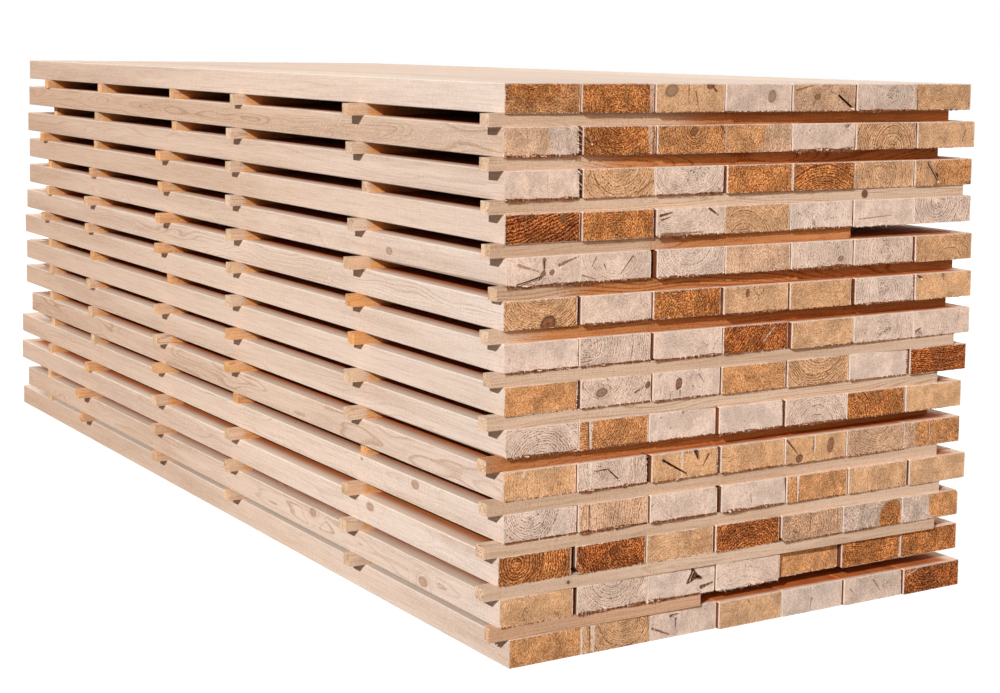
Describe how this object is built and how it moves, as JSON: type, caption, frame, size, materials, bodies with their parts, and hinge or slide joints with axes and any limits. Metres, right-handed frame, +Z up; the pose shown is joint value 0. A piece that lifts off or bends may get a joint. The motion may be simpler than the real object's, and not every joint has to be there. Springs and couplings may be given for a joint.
{
  "type": "stickered stack of sawn lumber",
  "caption": "Stickered stack of rough-sawn softwood boards: close rows of wide boards with thin laths laid across between them so that air can pass.",
  "frame": {"origin": "on the ground under the middle of the stack, on the underside of the middle board of the bottom row", "axes": "+X across the boards from the stack's left side to its right, +Y along the boards away from the ends that show, +Z up"},
  "size_m": [1.109, 2.671, 0.986],
  "materials": {
    "board_wood": "rough-sawn, unplaned",
    "sticker_wood": "rough-sawn, unplaned"
  },
  "bodies": {
    "root": {"boards_row_01": "board_wood", "boards_row_02": "board_wood", "boards_row_03": "board_wood", "boards_row_04": "board_wood", "boards_row_05": "board_wood", "boards_row_06": "board_wood", "boards_row_07": "board_wood", "boards_row_08": "board_wood", "boards_row_09": "board_wood", "boards_row_10": "board_wood", "boards_row_11": "board_wood", "boards_row_12": "board_wood", "boards_row_13": "board_wood", "boards_row_14": "board_wood", "stickers_gap_01": "sticker_wood", "stickers_gap_02": "sticker_wood", "stickers_gap_03": "sticker_wood", "stickers_gap_04": "sticker_wood", "stickers_gap_05": "sticker_wood", "stickers_gap_06": "sticker_wood", "stickers_gap_07": "sticker_wood", "stickers_gap_08": "sticker_wood", "stickers_gap_09": "sticker_wood", "stickers_gap_10": "sticker_wood", "stickers_gap_11": "sticker_wood", "stickers_gap_12": "sticker_wood", "stickers_gap_13": "sticker_wood"}
  },
  "joints": []
}
